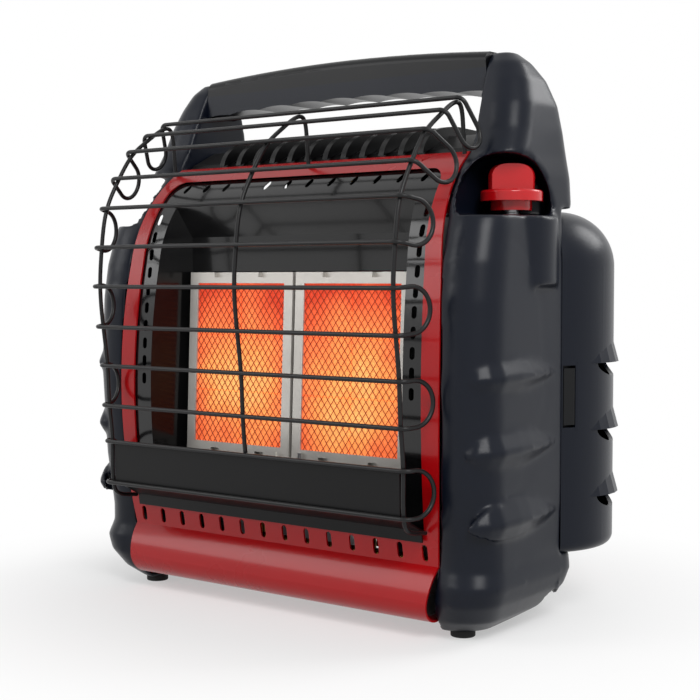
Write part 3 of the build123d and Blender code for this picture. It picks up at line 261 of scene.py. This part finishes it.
def settled_dust():
    """Patchy light dust over a base colour, on the faces that look up."""
    tree, start, end = group(
        "Settled dust",
        (("Amount", "NodeSocketFloat", 0.12), ("Base", "NodeSocketColor", (0.5, 0.5, 0.5, 1.0)),
         ("Dust", "NodeSocketColor", (0.30, 0.29, 0.27, 1.0))),
        (("Color", "NodeSocketColor"),),
    )
    link = tree.links.new
    shape = node(tree, "ShaderNodeNewGeometry", (-900, -200))
    split = node(tree, "ShaderNodeSeparateXYZ", (-700, -200))
    link(shape.outputs["Normal"], split.inputs[0])
    facing = node(tree, "ShaderNodeMapRange", (-500, -200), interpolation_type="SMOOTHSTEP",
                  From_Min=0.35, From_Max=1.0)
    link(split.outputs["Z"], facing.inputs["Value"])
    coords = node(tree, "ShaderNodeTexCoord", (-900, 200))
    patches = node(tree, "ShaderNodeTexNoise", (-700, 200), Scale=55.0, Detail=6.0, Roughness=0.7)
    link(coords.outputs["Object"], patches.inputs["Vector"])
    lying = maths(tree, "MULTIPLY", facing.outputs[0], patches.outputs["Fac"], place=(-300, 0))
    amount = maths(tree, "MULTIPLY", lying, start.outputs["Amount"], place=(-100, 0))
    mix = node(tree, "ShaderNodeMix", (200, 0), data_type="RGBA")
    link(amount, mix.inputs["Factor"])
    link(start.outputs["Base"], mix.inputs[COLOUR_A])
    link(start.outputs["Dust"], mix.inputs[COLOUR_B])
    link(mix.outputs[COLOUR_OUT], end.inputs["Color"])
    return tree


def shared_group(name):
    """The shader group of that name, built on first use."""
    makers = {"Moulding grain": moulding_grain, "Settled dust": settled_dust}
    return bpy.data.node_groups.get(name) or makers[name]()


def finish(name, base, roughness, grain_scale=1500.0, bump=0.1, depth=0.0002, tone=0.12, dust=0.1,
           metallic=0.0, coat=0.0, coat_roughness=0.1, specular=0.5, rough_change=0.08):
    """A material with grain, slow tone changes and dust, whose constants sit on its own shader."""
    made = bpy.data.materials.get(name)
    if made:
        return made
    made = bpy.data.materials.new(name)
    made.use_nodes = True
    tree = made.node_tree
    link = tree.links.new
    shader = put(tree.nodes["Principled BSDF"], Metallic=metallic, Coat_Weight=coat,
                 Coat_Roughness=coat_roughness, Specular_IOR_Level=specular)
    grain = node(tree, "ShaderNodeGroup", (-700, 0), node_tree=shared_group("Moulding grain"),
                 Base=base, Grain_Scale=grain_scale, Tone_Change=tone, Roughness=roughness,
                 Roughness_Change=rough_change)
    dusty = node(tree, "ShaderNodeGroup", (-450, 100), node_tree=shared_group("Settled dust"), Amount=dust)
    link(grain.outputs["Color"], dusty.inputs["Base"])
    link(dusty.outputs["Color"], shader.inputs["Base Color"])
    link(grain.outputs["Roughness"], shader.inputs["Roughness"])
    relief = node(tree, "ShaderNodeBump", (-300, -250), Strength=bump, Distance=depth)
    link(grain.outputs["Height"], relief.inputs["Height"])
    link(relief.outputs["Normal"], shader.inputs["Normal"])
    return made


# ---------------------------------------------------------------- finishes by part


def casing_plastic():
    """Satin blue-black moulding of the casings and doors."""
    return finish("Casing plastic", colour("casing"), 0.30, bump=0.16, depth=0.0003, tone=0.16, dust=0.03,
                  specular=0.2, rough_change=0.10)


def handle_plastic():
    """Satin black moulding of the handle, latches, fan housing and switches."""
    return finish("Handle plastic", colour("handle"), 0.32, grain_scale=1300.0, bump=0.2, depth=0.0003,
                  dust=0.03, specular=0.22)


def red_enamel():
    """Glossy red enamel with a slight orange-peel."""
    return finish("Red enamel", colour("red"), 0.28, grain_scale=420.0, bump=0.05, depth=0.0003, tone=0.10,
                  dust=0.0, coat=0.3, specular=0.2)


def knob_gloss():
    """Glossy red plastic."""
    return finish("Knob plastic", colour("knob"), 0.25, grain_scale=500.0, bump=0.03, tone=0.08, dust=0.0,
                  coat=0.4, specular=0.3)


def black_enamel():
    """Heat-resistant satin black paint."""
    return finish("Black enamel", colour("black"), 0.36, grain_scale=800.0, bump=0.12, depth=0.0003,
                  tone=0.25, dust=0.03, specular=0.2)


def liner_gloss():
    """Glossy black enamel of the firebox, finely dimpled, which mirrors the tiles' glow."""
    return finish("Liner enamel", colour("black"), 0.16, grain_scale=260.0, depth=0.0004, tone=0.3, dust=0.0,
                  coat=0.35, coat_roughness=0.08, specular=0.3, rough_change=0.1)


def wire_coating():
    """Black coating of the guard wire."""
    return finish("Wire coating", colour("wire"), 0.34, grain_scale=700.0, tone=0.2, dust=0.03,
                  specular=0.25)


def bright_sheet():
    """Aluminised sheet with its mottled bloom."""
    return finish("Aluminised sheet", linear(196, 192, 186), 0.42, grain_scale=520.0, bump=0.25,
                  depth=0.0003, tone=0.45, dust=0.0, metallic=0.55, rough_change=0.2)


def zinc_sheet():
    """Galvanised sheet."""
    return finish("Galvanised sheet", linear(150, 152, 154), 0.45, grain_scale=120.0, bump=0.08, tone=0.3,
                  metallic=0.9)


def bright_steel():
    """Bright zinc-plated steel."""
    return finish("Bright steel", linear(176, 176, 178), 0.3, grain_scale=900.0, bump=0.06, tone=0.15,
                  metallic=1.0)


def brass():
    """Machined brass."""
    return finish("Brass", linear(196, 156, 88), 0.3, grain_scale=700.0, bump=0.06, tone=0.2, metallic=1.0)


def cast_alloy():
    """Die-cast alloy."""
    return finish("Cast alloy", linear(150, 150, 152), 0.5, grain_scale=650.0, bump=0.2, tone=0.2,
                  metallic=0.9)


def rubber():
    """Black rubber."""
    return finish("Rubber", linear(24, 24, 25), 0.7, grain_scale=1100.0, bump=0.25, tone=0.2, specular=0.3)


def glazed_ceramic():
    """White glazed ceramic."""
    return finish("Glazed ceramic", linear(225, 222, 212), 0.2, grain_scale=600.0, bump=0.04, tone=0.06,
                  coat=0.5)


def hot_screen():
    """Wire screen that glows with the tile behind it."""
    made = finish("Hot screen", linear(84, 28, 16), 0.6, grain_scale=900.0, tone=0.4, dust=0.0)
    put(made.node_tree.nodes["Principled BSDF"], Emission_Color=linear(140, 40, 18), Emission_Strength=0.75)
    return made


def glowing_tile():
    """Porous ceramic in a glow that is brightest low in the middle of each tile and redder above."""
    made = bpy.data.materials.get("Glowing ceramic")
    if made:
        return made
    made = bpy.data.materials.new("Glowing ceramic")
    made.use_nodes = True
    tree = made.node_tree
    link = tree.links.new
    shader = put(tree.nodes["Principled BSDF"], Roughness=0.8, Emission_Strength=1.0)
    low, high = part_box("burner_tile_right")
    middle = (low[0] + high[0]) / 2
    half = (high[0] - low[0]) / 2
    coords = node(tree, "ShaderNodeTexCoord", (-1300, 0))
    split = node(tree, "ShaderNodeSeparateXYZ", (-1100, 0))
    link(coords.outputs["Object"], split.inputs[0])
    across = maths(tree, "ABSOLUTE", split.outputs["X"], place=(-900, 100))
    off = maths(tree, "SUBTRACT", across, middle, place=(-750, 100))
    side = maths(tree, "DIVIDE", off, half, place=(-600, 100))
    square = maths(tree, "MULTIPLY", side, side, place=(-450, 100))
    rise = node(tree, "ShaderNodeMapRange", (-900, -100), From_Min=low[2], From_Max=high[2])
    link(split.outputs["Z"], rise.inputs["Value"])
    centre = maths(tree, "SUBTRACT", rise.outputs[0], GLOW_HEIGHT, place=(-700, -100))
    tall = maths(tree, "MULTIPLY", centre, centre, place=(-550, -100))
    stretch = maths(tree, "MULTIPLY", tall, GLOW_FALL_UP, place=(-400, -100))
    fall = maths(tree, "MULTIPLY_ADD", square, GLOW_FALL_ACROSS, stretch, place=(-250, 0))
    clouds = node(tree, "ShaderNodeTexNoise", (-700, -400), Scale=26.0, Detail=3.0, Roughness=0.5)
    link(coords.outputs["Object"], clouds.inputs["Vector"])
    cloudy = maths(tree, "MULTIPLY_ADD", clouds.outputs["Fac"], GLOW_CLOUDS, fall, place=(-450, -400))
    heat = node(tree, "ShaderNodeValToRGB", (-150, -200))
    elements = heat.color_ramp.elements
    first, *between, last = GLOW_STEPS
    for element, (spot, shade) in zip(elements, (first, last)):
        element.position = spot
        element.color = linear(*shade)
    for spot, shade in between:
        elements.new(spot).color = linear(*shade)
    link(cloudy, heat.inputs["Fac"])
    holes = node(tree, "ShaderNodeTexVoronoi", (-450, -650), Scale=620.0)
    link(coords.outputs["Object"], holes.inputs["Vector"])
    dots = node(tree, "ShaderNodeMapRange", (-250, -650), From_Min=0.15, From_Max=0.45, To_Min=1.0,
                To_Max=0.72)
    link(holes.outputs["Distance"], dots.inputs["Value"])
    glow = node(tree, "ShaderNodeVectorMath", (150, -300), operation="SCALE")
    link(heat.outputs["Color"], glow.inputs[0])
    link(dots.outputs[0], glow.inputs["Scale"])
    link(glow.outputs[0], shader.inputs["Emission Color"])
    link(glow.outputs[0], shader.inputs["Base Color"])
    return made


# ---------------------------------------------------------------- making and finishing a piece


def dress(piece, made):
    """Give a piece this material and no other."""
    piece.data.materials.clear()
    piece.data.materials.append(made)


def paint(maker, *names):
    """Give CAD nodes a finish. A name that ends in * stands for every node that starts so."""
    made = maker()
    for name in names:
        found = [n for n in NODES if n == name or (name.endswith("*") and n.startswith(name[:-1]))]
        if not found:
            raise RuntimeError("no node is called " + name)
        for each in found:
            dress(NODES[each], made)


def show(name, mesh):
    """Put a mesh into the scene as a piece of that name."""
    mesh.name = name
    piece = bpy.data.objects.new(name, mesh)
    bpy.context.scene.collection.objects.link(piece)
    return piece


def settle(piece, body, slot, *replaced):
    """Finish a piece: put it on its body and hide the nodes it stands for. The slot is not used."""
    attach(piece, body)
    if replaced:
        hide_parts(*replaced)


def soften(name, node_name, voxel, rounds):
    """A moulding's rounder double: the node's shell remeshed evenly and relaxed."""
    mesh = NODES[node_name].data.copy()
    work = bmesh.new()
    work.from_mesh(mesh)
    bmesh.ops.remove_doubles(work, verts=work.verts, dist=WELD)
    work.to_mesh(mesh)
    work.free()
    piece = show(name, mesh)
    remesh = piece.modifiers.new("Even", "REMESH")
    remesh.mode = "VOXEL"
    remesh.voxel_size = voxel
    relax = piece.modifiers.new("Relax", "SMOOTH")
    relax.factor = 0.5
    relax.iterations = rounds
    graph = bpy.context.evaluated_depsgraph_get()
    smooth = bpy.data.meshes.new_from_object(piece.evaluated_get(graph), depsgraph=graph)
    piece.modifiers.clear()
    piece.data = smooth
    smooth.name = name
    for face in smooth.polygons:
        face.use_smooth = True
    return piece


def strand_tree():
    """Stacked zigzag strands that together make a diamond screen, centred on the origin in X and Z."""
    tree = bpy.data.node_groups.new("Diamond screen", "GeometryNodeTree")
    tree.is_modifier = True
    link = tree.links.new
    tree.interface.new_socket(name="Geometry", in_out="INPUT", socket_type="NodeSocketGeometry")
    for label, default in (("Width", 0.1), ("Height", 0.13), ("Pitch", 0.004), ("Radius", 0.0003)):
        socket = tree.interface.new_socket(name=label, in_out="INPUT", socket_type="NodeSocketFloat")
        socket.default_value = default
    tree.interface.new_socket(name="Finish", in_out="INPUT", socket_type="NodeSocketMaterial")
    tree.interface.new_socket(name="Geometry", in_out="OUTPUT", socket_type="NodeSocketGeometry")
    start = tree.nodes.new("NodeGroupInput")
    end = tree.nodes.new("NodeGroupOutput")
    width, height, pitch, radius = (start.outputs[n] for n in ("Width", "Height", "Pitch", "Radius"))
    half_row = maths(tree, "MULTIPLY", maths(tree, "MULTIPLY", pitch, DIAMOND_SHARE), 0.5)

    # one strand: a line of points, every other one lifted, with a thin tube round it
    steps = maths(tree, "CEIL", maths(tree, "DIVIDE", width, maths(tree, "MULTIPLY", pitch, 0.5)))
    line = tree.nodes.new("GeometryNodeMeshLine")
    link(maths(tree, "ADD", steps, 1.0), line.inputs["Count"])
    link(along(tree, "X", maths(tree, "DIVIDE", width, steps)), line.inputs["Offset"])
    link(along(tree, "X", maths(tree, "MULTIPLY", width, -0.5)), line.inputs["Start Location"])
    zigzag = tree.nodes.new("GeometryNodeSetPosition")
    link(line.outputs[0], zigzag.inputs["Geometry"])
    point = tree.nodes.new("GeometryNodeInputIndex")
    tooth = maths(tree, "SUBTRACT", maths(tree, "MODULO", point.outputs[0], 2.0), 0.5)
    link(along(tree, "Z", maths(tree, "MULTIPLY", tooth, half_row)), zigzag.inputs["Offset"])
    curve = tree.nodes.new("GeometryNodeMeshToCurve")
    link(zigzag.outputs[0], curve.inputs[0])
    profile = tree.nodes.new("GeometryNodeCurvePrimitiveCircle")
    profile.inputs["Resolution"].default_value = STRAND_SIDES
    link(radius, profile.inputs["Radius"])
    tube = tree.nodes.new("GeometryNodeCurveToMesh")
    link(curve.outputs[0], tube.inputs["Curve"])
    link(profile.outputs["Curve"], tube.inputs["Profile Curve"])

    # the stack: half a diamond apart, with every other strand upside down
    stack = tree.nodes.new("GeometryNodeMeshLine")
    link(maths(tree, "FLOOR", maths(tree, "DIVIDE", height, half_row)), stack.inputs["Count"])
    link(along(tree, "Z", half_row), stack.inputs["Offset"])
    link(along(tree, "Z", maths(tree, "MULTIPLY", height, -0.5)), stack.inputs["Start Location"])
    place = tree.nodes.new("GeometryNodeInstanceOnPoints")
    link(stack.outputs[0], place.inputs["Points"])
    link(tube.outputs[0], place.inputs["Instance"])
    row = tree.nodes.new("GeometryNodeInputIndex")
    flip = maths(tree, "MULTIPLY", maths(tree, "MODULO", row.outputs[0], 2.0), math.pi)
    link(along(tree, "X", flip), place.inputs["Rotation"])
    realize = tree.nodes.new("GeometryNodeRealizeInstances")
    link(place.outputs[0], realize.inputs[0])
    material = tree.nodes.new("GeometryNodeSetMaterial")
    link(realize.outputs[0], material.inputs["Geometry"])
    link(start.outputs["Finish"], material.inputs["Material"])
    link(material.outputs[0], end.inputs[0])
    return tree


def run_tree(name, tree, values, place):
    """Evaluate a Geometry Nodes tree into a plain mesh piece, moved by a matrix."""
    host = show(name + "_host", bpy.data.meshes.new(name + "_host"))
    modifier = host.modifiers.new("Build", "NODES")
    modifier.node_group = tree
    sockets = {s.name: s.identifier for s in tree.interface.items_tree if s.in_out == "INPUT"}
    for label, value in values.items():
        modifier[sockets[label]] = value
    graph = bpy.context.evaluated_depsgraph_get()
    mesh = bpy.data.meshes.new_from_object(host.evaluated_get(graph), depsgraph=graph)
    bpy.data.objects.remove(host, do_unlink=True)
    mesh.transform(place)
    return show(name, mesh)


# ---------------------------------------------------------------- operators


class HEATER_OT_casings(bpy.types.Operator):
    """Soften the side casings, and paint the plastic mouldings and the rubber"""

    bl_idname = "heater.casings"
    bl_label = "Casings and handle"

    def execute(self, context):
        paint(casing_plastic, "side_casing_*", "cylinder_door_*", "handle_grip")
        for side in SIDES:
            shell = soften("moulded_casing_" + side, "side_casing_" + side, CASING_CELL, CASING_ROUNDS)
            dress(shell, casing_plastic())
            settle(shell, "heater", "casing_plastic", "side_casing_" + side)
        paint(handle_plastic, "handle_bar", "door_latch_*", "fan_housing", "battery_cover", "fan_switch")
        paint(knob_gloss, "control_knob")
        paint(rubber, "rubber_feet", "supply_hose_*")
        return {"FINISHED"}


class HEATER_OT_metalwork(bpy.types.Operator):
    """Paint the sheet metal, the guard, the gas fittings and what is mounted inside"""

    bl_idname = "heater.metalwork"
    bl_label = "Metalwork"

    def execute(self, context):
        paint(red_enamel, "front_panel", "rear_panel")
        paint(liner_gloss, "firebox_liner")
        paint(black_enamel, "lower_guard_plate", "top_grille")
        paint(wire_coating, "guard_*")
        paint(bright_sheet, "burner_frame_*", "burner_plenum_*", "venturi_tube_*", "heat_shield",
              "pilot_burner")
        paint(zinc_sheet, "base_pan", "chassis_wall_*")
        paint(bright_steel, "door_hinge_pin_*", "rear_screws", "valve_stem", "return_spring", "fan_motor",
              "thermocouple")
        paint(brass, "control_valve", "gas_manifold", "swivel_*")
        paint(cast_alloy, "regulator_*")
        paint(handle_plastic, "fan_rotor", "tip_over_switch", "piezo_igniter")
        paint(glazed_ceramic, "igniter_electrode")
        return {"FINISHED"}


class HEATER_OT_spring(bpy.types.Operator):
    """Copy the knob's return spring into a piece of its own, in place of its CAD node"""

    bl_idname = "heater.spring"
    bl_label = "Return spring"

    def execute(self, context):
        coil = show("coil_spring", NODES["return_spring"].data.copy())
        dress(coil, bright_steel())
        settle(coil, "heater", "spring_steel", "return_spring")
        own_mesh(coil)
        return {"FINISHED"}


class HEATER_OT_burners(bpy.types.Operator):
    """Light the tiles and hang a diamond wire screen in front of each"""

    bl_idname = "heater.burners"
    bl_label = "Burners"

    def execute(self, context):
        sizes = context.scene.heater_sizes
        paint(glowing_tile, "burner_tile_*")
        tree = strand_tree()
        for side in SIDES:
            low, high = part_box("burner_tile_" + side)
            middle = (Vector(low) + Vector(high)) / 2
            front = Vector((middle.x, TILE_Y - TILE_FACE - sizes.screen_gap, TILE_Z))
            place = Matrix.Translation(front) @ Matrix.Rotation(TILE_LEAN, 4, "X")
            values = {
                "Width": high[0] - low[0] - 2 * SCREEN_EDGE,
                "Height": TILE_HEIGHT - 2 * SCREEN_EDGE,
                "Pitch": sizes.screen_pitch,
                "Radius": sizes.screen_wire,
                "Finish": hot_screen(),
            }
            settle(run_tree("burner_screen_" + side, tree, values, place), "heater", "burner_steel")
        return {"FINISHED"}


class HEATER_OT_stage(bpy.types.Operator):
    """Set the floor, the soft lights, the background and the camera"""

    bl_idname = "heater.stage"
    bl_label = "Stage"

    def execute(self, context):
        scene = context.scene
        reach = FLOOR_REACH
        mesh = bpy.data.meshes.new("floor")
        mesh.from_pydata([(-reach, -reach, 0), (reach, -reach, 0), (reach, reach, 0), (-reach, reach, 0)],
                         [], [(0, 1, 2, 3)])
        floor = show("floor", mesh)
        dress(floor, self.floor_finish())
        self.background(scene)
        for name, place, size, power in LAMPS:
            self.lamp(name, place, size, power)
        self.camera(scene)
        scene.view_settings.view_transform = "Standard"
        return {"FINISHED"}

    def camera(self, scene):
        """The camera, from the sizes that the user has set."""
        sizes = scene.heater_sizes
        eye = bpy.data.cameras.new("camera")
        eye.lens = sizes.camera_lens
        eye.sensor_width = 36.0
        eye.dof.use_dof = False
        made = bpy.data.objects.new("camera", eye)
        made.location = sizes.camera_place
        made.rotation_euler = (math.pi / 2 - sizes.camera_dip, 0.0, sizes.camera_turn)
        scene.collection.objects.link(made)
        scene.camera = made

    def floor_finish(self):
        """Pale floor that is white to the camera except where the heater shades it."""
        made = bpy.data.materials.new("Floor")
        made.use_nodes = True
        tree = made.node_tree
        link = tree.links.new
        shader = put(tree.nodes["Principled BSDF"], Roughness=0.7, Specular_IOR_Level=0.1)
        coords = node(tree, "ShaderNodeTexCoord", (-1100, 0))
        speckle = node(tree, "ShaderNodeTexNoise", (-900, 200), Scale=3.0, Detail=2.0)
        link(coords.outputs["Object"], speckle.inputs["Vector"])
        tone = node(tree, "ShaderNodeMapRange", (-700, 200), To_Min=0.90, To_Max=0.93)
        link(speckle.outputs["Fac"], tone.inputs["Value"])
        link(tone.outputs[0], shader.inputs["Base Color"])
        distance = node(tree, "ShaderNodeVectorMath", (-900, -100), operation="LENGTH")
        link(coords.outputs["Object"], distance.inputs[0])
        away = node(tree, "ShaderNodeMapRange", (-700, -100), interpolation_type="SMOOTHSTEP",
                    From_Min=FADE_FROM, From_Max=FADE_TO, To_Min=FADE_LEAST)
        link(distance.outputs["Value"], away.inputs["Value"])
        share = maths(tree, "MULTIPLY", away.outputs[0], self.seen_directly(tree), place=(-400, -100))
        white = node(tree, "ShaderNodeEmission", (-100, -200), Color=WHITE, Strength=1.0)
        mix = node(tree, "ShaderNodeMixShader", (200, 0))
        link(share, mix.inputs["Fac"])
        link(shader.outputs[0], mix.inputs[1])
        link(white.outputs[0], mix.inputs[2])
        link(mix.outputs[0], tree.nodes["Material Output"].inputs["Surface"])
        return made

    def seen_directly(self, tree):
        """1 for what the camera, a reflection or a look through glass sees, and 0 for soft light."""
        path = node(tree, "ShaderNodeLightPath", (-1300, -300))
        mirrored = maths(tree, "MAXIMUM", path.outputs["Is Camera Ray"], path.outputs["Is Glossy Ray"],
                         place=(-1100, -300))
        return maths(tree, "MAXIMUM", mirrored, path.outputs["Is Transmission Ray"], place=(-900, -300))

    def background(self, scene):
        """Even soft light, and white wherever something looks past the heater."""
        world = bpy.data.worlds.new("studio")
        scene.world = world
        world.use_nodes = True
        tree = world.node_tree
        tree.nodes.clear()
        out = node(tree, "ShaderNodeOutputWorld", (400, 0))
        soft = node(tree, "ShaderNodeBackground", (0, 100), Color=WHITE, Strength=WORLD_LIGHT)
        white = node(tree, "ShaderNodeBackground", (0, -100), Color=WHITE, Strength=1.0)
        mix = node(tree, "ShaderNodeMixShader", (200, 0))
        tree.links.new(self.seen_directly(tree), mix.inputs["Fac"])
        tree.links.new(soft.outputs[0], mix.inputs[1])
        tree.links.new(white.outputs[0], mix.inputs[2])
        tree.links.new(mix.outputs[0], out.inputs["Surface"])

    def lamp(self, name, place, size, power):
        """One soft square lamp aimed at the heater's middle."""
        light = bpy.data.lights.new(name, "AREA")
        light.size = size
        light.energy = power
        made = bpy.data.objects.new(name, light)
        made.location = place
        made.rotation_euler = (Vector(LAMP_AIM) - Vector(place)).to_track_quat("-Z", "Y").to_euler()
        bpy.context.scene.collection.objects.link(made)


class HEATER_PT_panel(bpy.types.Panel):
    """Lists the steps in the order they are run"""

    bl_label = "Propane heater"
    bl_idname = "HEATER_PT_panel"
    bl_space_type = "VIEW_3D"
    bl_region_type = "UI"
    bl_category = "Heater"

    def draw(self, context):
        for operator in OPERATORS:
            self.layout.operator(operator.bl_idname)


OPERATORS = (HEATER_OT_casings, HEATER_OT_metalwork, HEATER_OT_spring, HEATER_OT_burners, HEATER_OT_stage)
CLASSES = (HeaterSizes, HeaterColours, *OPERATORS, HEATER_PT_panel)


def register():
    for each in CLASSES:
        bpy.utils.register_class(each)
    bpy.types.Scene.heater_sizes = bpy.props.PointerProperty(type=HeaterSizes)
    bpy.types.Scene.heater_colours = bpy.props.PointerProperty(type=HeaterColours)


def unregister():
    del bpy.types.Scene.heater_colours
    del bpy.types.Scene.heater_sizes
    for each in reversed(CLASSES):
        bpy.utils.unregister_class(each)


def main():
    """Register the add-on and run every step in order."""
    register()
    bpy.ops.heater.casings()
    bpy.ops.heater.metalwork()
    bpy.ops.heater.spring()
    bpy.ops.heater.burners()
    bpy.ops.heater.stage()


if __name__ == "__main__":
    main()
